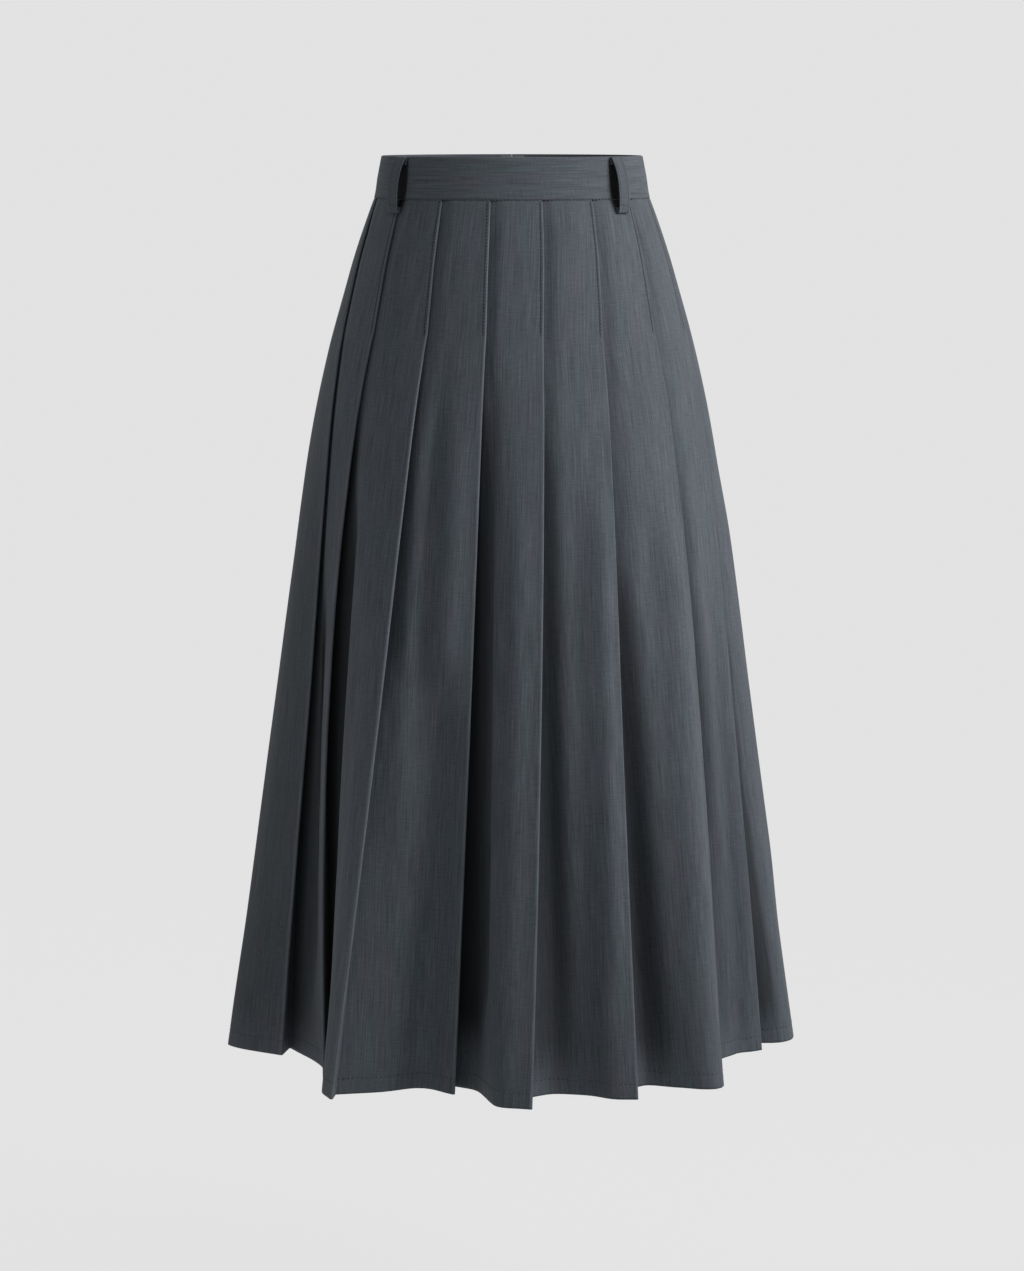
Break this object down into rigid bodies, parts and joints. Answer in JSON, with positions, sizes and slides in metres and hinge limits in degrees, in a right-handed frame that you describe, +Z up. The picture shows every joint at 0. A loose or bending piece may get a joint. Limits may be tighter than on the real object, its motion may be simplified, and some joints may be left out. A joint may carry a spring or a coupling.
{
  "type": "pleated midi skirt",
  "caption": "Hollow A-line midi skirt held open as when worn: straight waistband with belt loops over knife pleats stitched down at the hips.",
  "frame": {"origin": "centre of the waistband, halfway up its height, where the wearer's waist holds it", "axes": "+Z up towards the wearer's head, the skirt's front faces -Y, +X towards the wearer's left"},
  "size_m": [0.5093, 0.4456, 0.7885],
  "materials": {
    "cloth": "slate grey melange suiting, softly brushed",
    "band_cloth": "the same suiting, grain running round the waist",
    "loop_cloth": "the same suiting, folded into a narrow strip",
    "zip_tape": "woven polyester tape",
    "zip_metal": "dark lacquered zinc"
  },
  "bodies": {
    "skirt": {"waistband": "band_cloth", "skirt_front": "cloth", "skirt_back_right": "cloth", "skirt_back_left": "cloth", "belt_loop_front_left": "loop_cloth", "belt_loop_front_right": "loop_cloth", "belt_loop_back_left": "loop_cloth", "belt_loop_back_right": "loop_cloth", "zip_tape_left": "zip_tape", "zip_tape_right": "zip_tape", "zip_slider": "zip_metal"},
    "pull": {"zip_pull": "zip_metal"}
  },
  "joints": [
    {"name": "zip_pull_hinge", "type": "hinge", "parent": "skirt", "child": "pull", "pos_m": [0, 0.08923, 0.01085], "axis": [1, 0, 0], "range_deg": [0, 150]}
  ]
}
